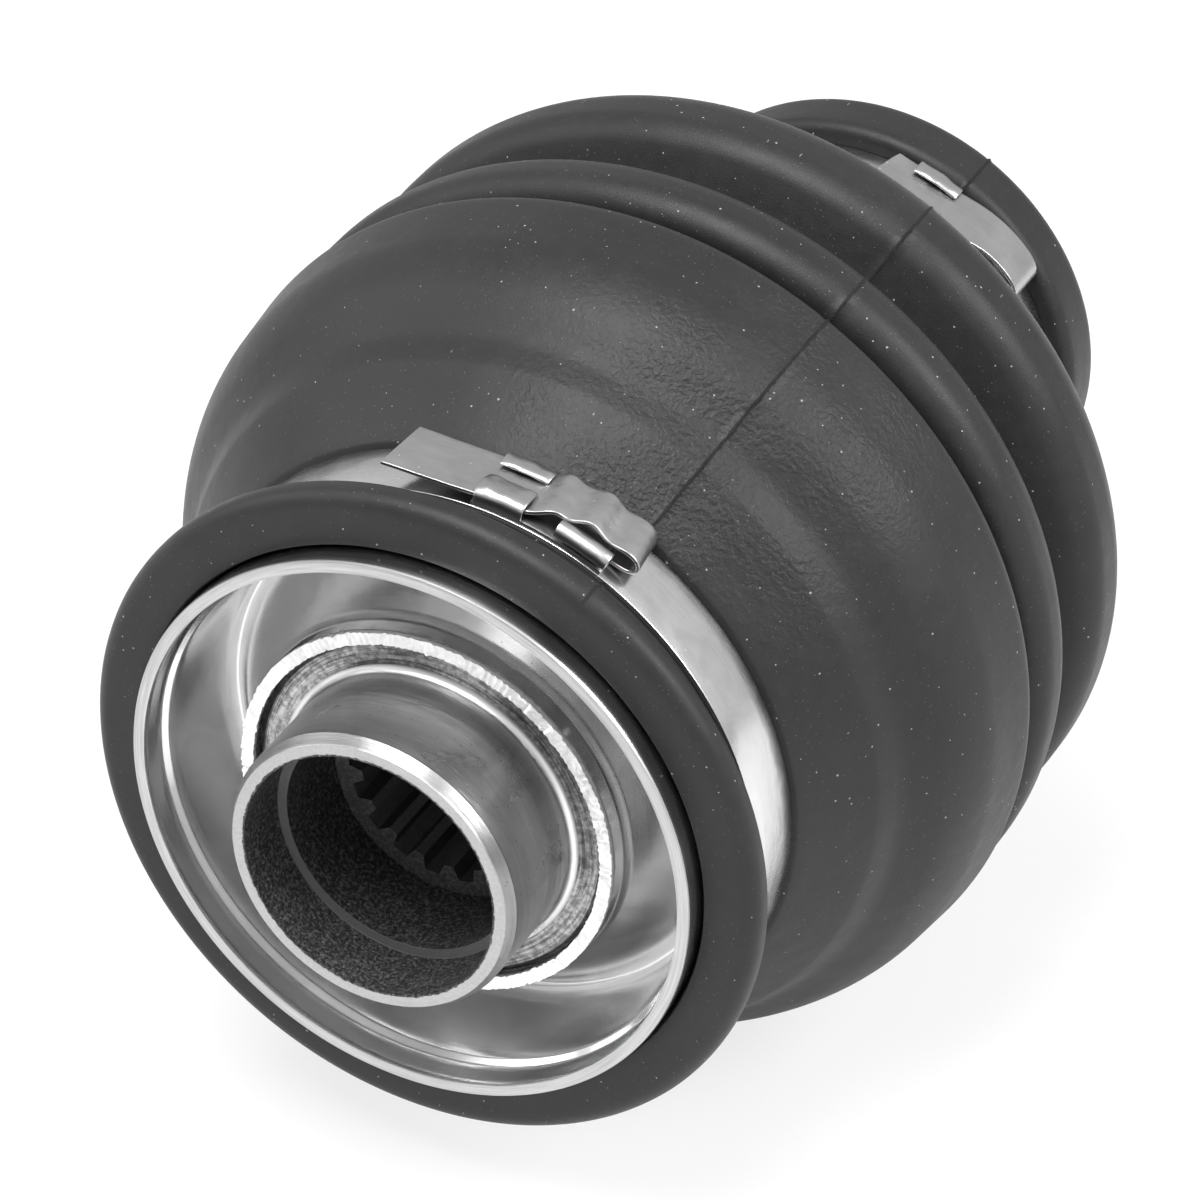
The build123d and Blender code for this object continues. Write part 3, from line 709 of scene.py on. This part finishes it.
@dataclass
class RubberBoot:
    """The moulded bellows boot, in two shells that meet in the bottom of the second groove."""

    wall: float = 2.5
    steps: int = 240
    longest: float = 1.6
    seam_angle: float = 60.0
    seam_half: float = 0.26
    seam_rise: float = 0.20
    seam_ragged: float = 0.16
    flank_ragged: float = 0.10
    collar_rear: float = 15.3
    split: float = 75.6
    front_bend: float = 30.0
    rear_bend: float = 112.0
    finish: MouldedRubber = field(default_factory=MouldedRubber)

    def front_outside(self) -> list[Corner]:
        """Outer line of the front shell, from the collar's mouth to the second groove."""
        return [
            Corner(34.45, 11.2, 0.2), Corner(40.58, 11.2, 2.0), Corner(40.58, 15.1, 1.3),
            Corner(35.98, 15.1, 0.6), Corner(35.98, 28.5, 0.25), Corner(37.2, 28.7, 0.6),
            Corner(43.2, 36.4, 3.0), Corner(44.6, 39.8, 6.0), Corner(50.4, 46.5, 14.0),
            Corner(51.9, 59.6, 2.2),
            Corner(42.5, 60.3, 0.9), Corner(42.5, 62.2, 0.9), Corner(51.3, 63.0, 3.4),
            Corner(51.3, 69.8, 4.0), Corner(42.5, 74.2, 2.3), Corner(42.5, self.split)]

    def rear_outside(self) -> list[Corner]:
        """Outer line of the rear shell, from the second groove to the mouth of the bead."""
        return [
            Corner(42.5, self.split), Corner(42.5, 77.0, 2.2), Corner(50.2, 80.6, 4.0),
            Corner(50.2, 88.0, 5.5), Corner(25.8, 109.5, 6.0), Corner(25.8, 122.6, 0.3),
            Corner(29.0, 122.6, 1.6), Corner(29.0, 131.0, 2.6), Corner(23.3, 131.0, 1.0)]

    def shell(self, name: str, outside: list[Corner], inside: list[Corner], seed: int) -> Piece:
        """Spin one closed shell and raise its mould seam.

        Args:
            name: The piece's name.
            outside: The shell's outer line.
            inside: The shell's inner line, in the order that closes the outer one.
            seed: Seed of the seam's ragged edge.

        Returns:
            The finished shell.
        """
        bench = Bench(name)
        loop = outside + inside
        bench.draw(loop, closed=True)
        bench.round_corners(loop, closed=True, arc_step=0.45)
        bench.even_out(self.longest)
        bench.spin(self.steps)
        self.raise_seam(bench, outside, inside, seed)
        return bench.lift(40.0)

    def raise_seam(self, bench: Bench, outside: list[Corner], inside: list[Corner], seed: int) -> None:
        """Cut two lines beside the mould seam and lift a ragged ridge between them."""
        turn = radians(self.seam_angle)
        across = Vector((-sin(turn), 0, cos(turn)))
        for side in (-1, 1):
            bpy.ops.mesh.select_all(action="SELECT")
            bpy.ops.mesh.bisect(plane_co=across * (side * self.seam_half * MM), plane_no=across,
                                use_fill=False, clear_inner=False, clear_outer=False)

        def on_skin(at: Vector, off: float) -> bool:
            """Whether a place is that far off the seam's middle and on the outside behind the collar."""
            if abs(abs(at.dot(across)) - off) > 0.02 or abs(at.y - self.split) < 0.05:
                return False
            if at.y < self.collar_rear:
                return False
            spot = Vector((sqrt(at.x ** 2 + at.z ** 2), at.y))
            return gap_to_line(spot, outside) < gap_to_line(spot, inside)

        bench.pick(lambda at: on_skin(at, 0.0))
        bpy.ops.transform.shrink_fatten(value=self.seam_rise * MM)
        bench.roughen(self.seam_ragged, seed)
        bench.pick(lambda at: on_skin(at, self.seam_half))
        bench.roughen(self.flank_ragged, seed + 1)

    def front_shell(self) -> Piece:
        """The collar, seat, cone, dome and first fold."""
        outside = self.front_outside()
        moved = parallel(outside[3:], self.wall)[1:]
        inside = moved[::-1] + [Corner(33.38, 14.7), Corner(34.08, 13.7), Corner(34.08, 12.3)]
        return self.shell("boot_front_shell", outside, inside, 11)

    def rear_shell(self) -> Piece:
        """The second fold, the neck, the seat and the bead."""
        outside = self.rear_outside()
        inside = parallel(outside[:5] + [Corner(25.8, 122.6)], self.wall)[:-1][::-1]
        return self.shell("boot_rear_shell", outside, inside, 23)

    def store_rest(self, piece: Piece) -> None:
        """Keep each point's place at rest in an attribute, which the finish reads its pattern from."""
        mesh = piece.data
        kept = mesh.attributes.new(REST_PLACE, "FLOAT_VECTOR", "POINT")
        places = [0.0] * (3 * len(mesh.vertices))
        mesh.vertices.foreach_get("co", places)
        kept.data.foreach_set("vector", places)

    def build(self) -> list[Piece]:
        """Model and dress both shells.

        Returns:
            The front and the rear shell.
        """
        front = self.front_shell()
        rear = self.rear_shell()
        skin = self.finish.material("moulded_rubber")
        for piece in (front, rear):
            self.store_rest(piece)
            piece.data.materials.append(skin)
            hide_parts("rubber_boot")
        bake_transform(front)
        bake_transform(rear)
        return [front, rear]


@dataclass
class PressedCup:
    """The drawn cup round the sleeve, with a cut rim and a torn edge at its neck."""

    sheet: float = 1.5
    steps: int = 360
    neck_place: float = 12.9
    neck_reach: float = 23.2
    tooth_step: float = 0.14
    tooth_ragged: float = 0.10
    tear_ragged: float = 0.22
    finish: DrawnSteel = field(default_factory=DrawnSteel)

    def build(self) -> Piece:
        """Spin the cup, tear its neck and dress it.

        Returns:
            The finished cup.
        """
        seen = [
            Corner(32.5, 8.5, 0.25), Corner(32.5, 12.1, 0.5), Corner(31.8, 12.8, 0.5),
            Corner(31.2, 28.0, 1.2), Corner(22.73, 16.3, 3.0), Corner(22.73, self.neck_place)]
        hidden = parallel([seen[0]._replace(bend=0.0)] + seen[1:], -self.sheet)
        hidden[0] = hidden[0]._replace(bend=0.35)
        loop = seen + hidden[::-1]
        bench = Bench("drawn_cup")
        bench.draw(loop, closed=True)
        bench.round_corners(loop, closed=True, arc_step=0.3)
        bench.even_out(1.5)
        bench.spin(self.steps)
        self.tear_neck(bench)
        piece = bench.lift(35.0)
        piece.data.materials.append(self.finish.material("drawn_steel"))
        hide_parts("pressed_cup")
        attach(piece, Body.FRONT.value)
        return piece

    def tear_neck(self, bench: Bench) -> None:
        """Leave small teeth of torn metal on the neck's cut edge."""
        pitch = tau / self.steps

        def on_edge(at: Vector, every: int, offset: int) -> bool:
            """Whether a place is on the neck's cut edge and on one of the chosen spokes."""
            if at.y > self.neck_place + 0.05 or sqrt(at.x ** 2 + at.z ** 2) > self.neck_reach:
                return False
            return (round(atan2(at.z, at.x) / pitch) + offset) % every == 0

        bench.pick(lambda at: on_edge(at, 1, 0))
        bench.roughen(self.tooth_ragged, 5)
        bench.pick(lambda at: on_edge(at, 2, 0))
        bpy.ops.transform.translate(value=(0, -self.tooth_step * MM, 0))
        bench.pick(lambda at: on_edge(at, 5, 2))
        bench.roughen(self.tear_ragged, 9)


@dataclass
class StrapClamp:
    """One strap clamp: band, folded strap, and a buckle with two ears and a rolled lug."""

    name: str
    body: Body
    seat: float
    front: float
    rear: float
    fold_angle: float
    stations: list[Station]
    ear_place: float = 13.8
    ear_length: float = 5.6
    lug_place: float = 4.1
    lug_length: float = 6.2
    torn_end: float = 0.0
    sheet: float = 0.6
    slack: float = 0.05
    edge_gap: float = 0.15

    def band_out(self) -> float:
        """Radius of the band's outside."""
        return self.seat + self.slack + self.sheet

    def wrap(self, piece: Piece) -> None:
        """Roll a flat piece round the band: its X runs along the strap and its Z off the band."""
        radius = self.band_out()
        for vertex in piece.data.vertices:
            along, shaft, height = vertex.co / MM
            turn = radians(self.fold_angle) + along / radius
            reach = radius + height
            vertex.co = Vector((reach * cos(turn), shaft, reach * sin(turn))) * MM
        piece.data.update()

    def band(self) -> Piece:
        """The band round the boot, lifted a little off its seat beside the buckle."""
        low = self.seat + self.slack
        high = self.band_out()
        near, far = self.front + self.edge_gap, self.rear - self.edge_gap
        loop = [Corner(low, near, 0.1), Corner(high, near, 0.14), Corner(high, far, 0.14),
                Corner(low, far, 0.1)]
        bench = Bench(f"{self.name}_band")
        bench.draw(loop, closed=True)
        bench.round_corners(loop, closed=True, arc_step=0.08)
        bench.even_out(2.2)
        bench.spin(240)
        turn = radians(self.fold_angle - 8)
        out = Vector((cos(turn), 0, sin(turn)))
        bench.pick(lambda at: at.y < self.front + 0.8 and at.normalized().dot(out) > 0.98
                   and Vector((at.x, at.z)).normalized().dot(Vector((out.x, out.z))) > 0.9995)
        bench.push(out * 0.55 + Vector((0, -0.1, 0)), 5.0)
        return bench.lift(40.0)

    def strap_end(self) -> Piece:
        """The strap's end: folded over, crumpled and left standing off the band."""
        middle = (self.front + self.rear) / 2
        first = self.stations[0]
        bench = Bench(f"{self.name}_strap_end")
        bench.point(Vector((first.along, middle + first.shift - first.width / 2, first.height)))
        for _ in range(6):
            bench.extrude(Vector((0, first.width / 6, 0)))
        bpy.ops.mesh.select_all(action="SELECT")
        for before, after in zip(self.stations, self.stations[1:]):
            centre = Vector((after.along, middle + after.shift, after.height)) * MM
            bench.extrude(Vector((after.along - before.along, after.shift - before.shift,
                                  after.height - before.height)))
            bpy.ops.transform.resize(value=(1, after.width / before.width, 1), center_override=centre)
            bpy.ops.transform.rotate(value=radians(after.skew - before.skew), orient_axis="Z",
                                     orient_type="GLOBAL", center_override=centre)
        if self.torn_end:
            bench.roughen(self.torn_end, 4)
        bpy.ops.mesh.select_all(action="SELECT")
        bpy.ops.mesh.normals_make_consistent(inside=False)
        bench.modify("SOLIDIFY", thickness=self.sheet * 0.8 * MM, offset=0.0)
        bench.modify("BEVEL", width=0.12 * MM, segments=2, limit_method="ANGLE", angle_limit=radians(60))
        bench.modify("SUBSURF", levels=1, render_levels=1)
        return bench.lift(50.0)

    def ear(self, side: int, seed: int) -> Piece:
        """One ear of the buckle, folded over the strap and hammered down.

        Args:
            side: 1 for the ear on the front edge and -1 for the one on the rear edge.
            seed: Seed of the hammer marks.

        Returns:
            The ear, still flat.
        """
        edge = self.front + self.edge_gap if side > 0 else self.rear - self.edge_gap
        flap = 3.6 if side > 0 else 2.6
        line = [(0.30, 0.1), (0.02, 0.7), (0.05, 1.5), (0.45, 2.05), (1.2, 2.2), (2.3, 2.12), (flap, 1.9)]
        bench = Bench(f"{self.name}_ear_{'front' if side > 0 else 'rear'}")
        start = self.ear_place - self.ear_length / 2
        bench.point(Vector((start, edge + side * line[0][0], line[0][1])))
        for before, after in zip(line, line[1:]):
            bench.extrude(Vector((0, side * (after[0] - before[0]), after[1] - before[1])))
        bpy.ops.mesh.select_all(action="SELECT")
        for _ in range(7):
            bench.extrude(Vector((self.ear_length / 7, 0, 0)))
        bench.pick(lambda at: at.z > 1.8)
        bench.roughen(0.20, seed, 0.8)
        bpy.ops.mesh.select_all(action="SELECT")
        bpy.ops.mesh.normals_make_consistent(inside=False)
        bench.modify("SOLIDIFY", thickness=self.sheet * 0.8 * MM, offset=0.0)
        bench.modify("BEVEL", width=0.12 * MM, segments=2, limit_method="ANGLE", angle_limit=radians(60))
        bench.modify("SUBSURF", levels=1, render_levels=1)
        return bench.lift(50.0)

    def lug(self) -> Piece:
        """The lug rolled up from the buckle's front edge."""
        bench = Bench(f"{self.name}_lug")
        radius = 0.95
        centre = Vector((self.lug_place - self.lug_length / 2, self.front + 0.3 + radius, 0.35 + radius))
        bench.point(centre + Vector((0, 1.3, -radius)))
        bench.extrude(Vector((0, -1.3, 0)))
        bpy.ops.mesh.spin(steps=14, angle=radians(285), center=centre * MM, axis=(-1, 0, 0))
        bpy.ops.mesh.select_all(action="SELECT")
        for _ in range(8):
            bench.extrude(Vector((self.lug_length / 8, 0, 0)))
        bpy.ops.mesh.select_all(action="SELECT")
        bpy.ops.mesh.normals_make_consistent(inside=False)
        bench.modify("SOLIDIFY", thickness=self.sheet * 0.7 * MM, offset=0.0)
        bench.modify("BEVEL", width=0.1 * MM, segments=2, limit_method="ANGLE", angle_limit=radians(50))
        return bench.lift(45.0)

    def plate(self) -> Piece:
        """The buckle's plate on the band."""
        bench = Bench(f"{self.name}_plate")
        width = self.rear - self.front - 0.5
        bench.point(Vector((1.0, self.front + 0.25, 0.05)))
        for _ in range(4):
            bench.extrude(Vector((0, width / 4, 0)))
        bpy.ops.mesh.select_all(action="SELECT")
        for _ in range(24):
            bench.extrude(Vector((16.0 / 24, 0, 0)))
        bpy.ops.mesh.select_all(action="SELECT")
        bpy.ops.mesh.normals_make_consistent(inside=False)
        bench.modify("SOLIDIFY", thickness=self.sheet * 0.8 * MM, offset=1.0)
        bench.modify("BEVEL", width=0.1 * MM, segments=2, limit_method="ANGLE", angle_limit=radians(60))
        return bench.lift(40.0)

    def build(self, skin: bpy.types.Material, worked: bpy.types.Material) -> list[Piece]:
        """Model, dress and hang the clamp.

        Args:
            skin: Finish of the smooth band.
            worked: Finish of the bent and hammered pieces.

        Returns:
            All the clamp's pieces.
        """
        band = self.band()
        strap_end = self.strap_end()
        buckle = [self.plate(), self.ear(1, 7), self.ear(-1, 8), self.lug()]
        for piece in [strap_end] + buckle:
            self.wrap(piece)
        for piece in [band, strap_end]:
            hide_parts(f"{self.name}_strap")
        for piece in buckle:
            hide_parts(f"{self.name}_buckle")
        pieces = [band, strap_end] + buckle
        for piece in pieces:
            piece.data.materials.append(skin if piece is band else worked)
            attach(piece, self.body.value)
        return pieces


def front_stations(radius: float) -> list[Station]:
    """The front strap's end, from under the fold to the free end that stands off the band."""
    lines = [
        Station(2.0, 0.35, 5.8, 1.1), Station(0.2, 0.40, 5.8, 1.1), Station(-1.0, 0.75, 5.8, 1.1, 3),
        Station(-1.5, 1.5, 5.8, 1.1, 6), Station(-1.2, 2.4, 5.9, 1.1, 8), Station(-0.3, 2.9, 6.0, 1.1, 8),
        Station(1.0, 2.8, 6.0, 1.1, 8), Station(2.2, 2.35, 6.0, 1.1, 8), Station(3.2, 2.45, 6.0, 1.1, 6),
        Station(4.2, 3.15, 6.0, 1.05, 5), Station(5.0, 3.3, 6.0, 1.0, 4), Station(5.9, 2.7, 6.1, 0.95, 5),
        Station(6.8, 2.25, 6.3, 0.85, 7), Station(7.7, 2.35, 6.6, 0.7, 9), Station(8.5, 2.85, 6.9, 0.5, 10),
        Station(9.3, 2.6, 7.2, 0.35, 10), Station(10.2, 1.9, 7.5, 0.2, 8), Station(11.2, 1.45, 7.7, 0.1, 5),
        Station(12.4, 1.3, 7.8, 0.0, 2), Station(14.0, 1.3, 7.8), Station(15.6, 1.3, 7.8),
        Station(17.0, 1.3, 7.8)]
    for along in (19.0, 21.0, 23.0, 25.0, 27.0):
        rise = radius * (1 / cos((along - 17.0) / radius) - 1)
        lines.append(Station(along, 1.3 + rise * 1.1, 7.9, -0.05, -(along - 17.0) * 0.2))
    return lines


def rear_stations() -> list[Station]:
    """The rear strap's end, which stands off the band between the fold and the ears."""
    return [
        Station(2.0, 0.35, 6.2, 1.8), Station(0.2, 0.40, 6.2, 1.8), Station(-0.9, 0.75, 6.2, 1.8),
        Station(-1.4, 1.5, 6.2, 1.8), Station(-1.1, 2.4, 6.2, 1.8), Station(-0.1, 2.85, 6.2, 1.8),
        Station(1.4, 2.95, 6.3, 1.75), Station(3.2, 2.85, 6.4, 1.7), Station(5.2, 2.65, 6.7, 1.5),
        Station(7.2, 2.3, 7.4, 1.1), Station(9.0, 1.9, 8.3, 0.6), Station(10.6, 1.5, 8.9, 0.3),
        Station(12.0, 1.35, 9.4), Station(14.0, 1.3, 9.5), Station(16.0, 1.3, 9.5),
        Station(17.6, 1.35, 9.5), Station(19.0, 1.55, 9.4, 0.0, -6), Station(20.2, 1.8, 9.0, 0.1, -12)]


@dataclass
class JointParts:
    """The frame's own pieces that keep their shape and get a finish."""

    nodes: dict[str, Piece]

    def dress(self) -> None:
        """Give each carried-over piece its finish."""
        finishes = {
            "front_yoke": TurnedSteel().material("turned_steel"),
            "rear_yoke": TurnedSteel(bore_radius=12.3, face=-9.0, step_place=-9.0, spline_place=90.0,
                                     shoulder=-9.0, level=0.34).material("turned_steel_rear"),
            "core_plug": PlainSteel(0.45, 0.30, 1.5).material("plug_steel"),
            "cross": PlainSteel(0.50, 0.30, 2.0).material("cross_steel"),
            "bearing_cup": PlainSteel(0.55, 0.22).material("bearing_cup_steel"),
            "needle_rollers": PlainSteel(0.62, 0.14, 4.0).material("needle_steel"),
            "retaining_ring": PlainSteel(0.22, 0.35, 2.0).material("spring_steel"),
            "cup_seal": MouldedRubber(level=0.02, attribute=None, leather_reach=0.5,
                                      seam_angle=200.0).material("seal_rubber"),
        }
        for name, node in self.nodes.items():
            key = next((k for k in finishes if k in name), None)
            if key is None:
                continue
            node.data.materials.clear()
            node.data.materials.append(finishes[key])
            log.info("dressed %s as %s", name, key)


@dataclass
class Studio:
    """White floor, soft lamps and the camera at the photograph's viewing angle."""

    azimuth: float = 26.82
    elevation: float = 34.28
    lens: float = 180.0
    aim: float = 8.5
    across: float = 20.98
    above: float = 25.3
    away: float = 646.1
    floor_height: float = -51.6
    floor_side: float = 12.0
    floor_seen: float = 0.75
    floor_mirrored: float = 0.25
    sky_fill: float = 0.34
    sky_mirrored: float = 0.85
    sky_seen: float = 1.0

    def axes(self) -> tuple[Vector, Vector, Vector]:
        """The camera's right, up and back directions."""
        turn, tilt = radians(self.azimuth), radians(self.elevation)
        back = Vector((sin(turn) * cos(tilt), -cos(turn) * cos(tilt), sin(tilt)))
        right = Vector((cos(turn), sin(turn), 0))
        return right, back.cross(right), back

    def camera(self) -> None:
        """Set up the camera."""
        right, up, back = self.axes()
        lens = bpy.data.cameras.new("view")
        lens.lens = self.lens
        lens.sensor_width = 36.0
        lens.clip_start = 0.01
        eye = bpy.data.objects.new("view", lens)
        bpy.context.scene.collection.objects.link(eye)
        place = Vector((0, self.aim, 0)) + right * self.across + up * self.above + back * self.away
        eye.matrix_world = Matrix((
            (right.x, up.x, back.x, place.x * MM), (right.y, up.y, back.y, place.y * MM),
            (right.z, up.z, back.z, place.z * MM), (0, 0, 0, 1)))
        bpy.context.scene.camera = eye

    def white_seen(self, graph: Graph, shader: Socket, seen: float, mirrored: float) -> Socket:
        """Mix plain white into a shader for the camera and for reflections.

        Args:
            graph: The material's graph.
            shader: The shader underneath.
            seen: Share of white that the camera sees.
            mirrored: Share of white in reflections.

        Returns:
            The mixed shader.
        """
        path = graph.node("ShaderNodeLightPath")
        share = graph.math("MULTIPLY", path.outputs["Is Camera Ray"], seen)
        share = graph.math("MULTIPLY_ADD", path.outputs["Is Glossy Ray"], mirrored, share)
        white = graph.node("ShaderNodeEmission")
        white.inputs["Strength"].default_value = 1.0
        mix = graph.node("ShaderNodeMixShader")
        graph.feed(mix.inputs[0], share)
        graph.feed(mix.inputs[1], shader)
        graph.feed(mix.inputs[2], white.outputs[0])
        return mix.outputs[0]

    def floor(self) -> None:
        """A pale floor under the boot that keeps a soft shadow."""
        bench = Bench("floor")
        bpy.ops.mesh.primitive_plane_add(size=self.floor_side, location=(0, 0, self.floor_height * MM))
        piece = bpy.context.object
        piece.name = "floor"
        bpy.ops.object.transform_apply(location=True, rotation=True, scale=True)
        log.info("floor of %s laid", bench.name)
        graph = Graph("floor_white")
        graph.feed(graph.shader.inputs["Base Color"], (0.9, 0.9, 0.9, 1))
        graph.feed(graph.shader.inputs["Roughness"], 0.9)
        out = graph.tree.nodes["Material Output"]
        graph.feed(out.inputs[0], self.white_seen(graph, graph.shader.outputs[0],
                                                  self.floor_seen, self.floor_mirrored))
        piece.data.materials.append(graph.material)

    def world(self) -> None:
        """White surroundings for the camera and reflections, and a gentler fill on the object."""
        world = bpy.data.worlds.new("surroundings")
        world.use_nodes = True
        bpy.context.scene.world = world
        tree = world.node_tree
        sky = tree.nodes["Background"]
        sky.inputs["Color"].default_value = (1, 1, 1, 1)
        path = tree.nodes.new("ShaderNodeLightPath")
        mirrored = tree.nodes.new("ShaderNodeMix")
        mirrored.data_type = "FLOAT"
        tree.links.new(path.outputs["Is Glossy Ray"], mirrored.inputs[0])
        mirrored.inputs[2].default_value = self.sky_fill
        mirrored.inputs[3].default_value = self.sky_mirrored
        mix = tree.nodes.new("ShaderNodeMix")
        mix.data_type = "FLOAT"
        tree.links.new(path.outputs["Is Camera Ray"], mix.inputs[0])
        tree.links.new(mirrored.outputs[0], mix.inputs[2])
        mix.inputs[3].default_value = self.sky_seen
        tree.links.new(mix.outputs[0], sky.inputs["Strength"])

    def lamp(self, name: str, power: float, size: float, azimuth: float, elevation: float,
             distance: float) -> None:
        """Hang a square soft lamp that faces the object.

        Args:
            name: The lamp's name.
            power: Its power in watts.
            size: Its side in metres.
            azimuth: Its direction round the object, where 0 is towards -Y.
            elevation: Its height in degrees.
            distance: How far it hangs, in metres.
        """
        light = bpy.data.lights.new(name, "AREA")
        light.energy = power
        light.size = size
        turn, tilt = radians(azimuth), radians(elevation)
        toward = Vector((sin(turn) * cos(tilt), -cos(turn) * cos(tilt), sin(tilt)))
        hung = bpy.data.objects.new(name, light)
        bpy.context.scene.collection.objects.link(hung)
        aim = Vector((0, 0.05, 0))
        hung.location = aim + toward * distance
        hung.rotation_euler = toward.to_track_quat("Z", "Y").to_euler()

    def build(self) -> None:
        """Set up floor, surroundings, lamps and camera."""
        self.floor()
        self.world()
        self.lamp("key", 11.5, 0.5, -10.0, 68.0, 0.9)
        self.lamp("right", 8.0, 0.5, 95.0, 40.0, 0.9)
        self.lamp("left", 3.0, 0.6, -75.0, 30.0, 1.0)
        self.camera()
        bpy.context.scene.view_settings.view_transform = "Standard"


def main() -> None:
    """Load the frame, build each sub-assembly round it and set up the studio."""
    logging.basicConfig(level=logging.INFO, format="%(name)s: %(message)s")
    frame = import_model()
    JointParts(frame["nodes"]).dress()
    for piece in RubberBoot().build():
        log.info("%s: %d faces", piece.name, len(piece.data.polygons))
    cup = PressedCup().build()
    log.info("%s: %d faces", cup.name, len(cup.data.polygons))
    smooth = StainlessStrip().material("stainless_strip")
    worked = StainlessStrip(level=0.38, roughness=0.32, dents=0.14).material("stainless_strip_worked")
    clamps = (
        StrapClamp("front_clamp", Body.FRONT, 35.98, 19.7, 28.5, 59.8, front_stations(36.6)),
        StrapClamp("rear_clamp", Body.REAR, 25.8, 112.0, 122.6, 36.0, rear_stations(), torn_end=0.25),
    )
    for clamp in clamps:
        for piece in clamp.build(smooth, worked):
            log.info("%s: %d faces", piece.name, len(piece.data.polygons))
    Studio().build()


if __name__ == "__main__":
    main()
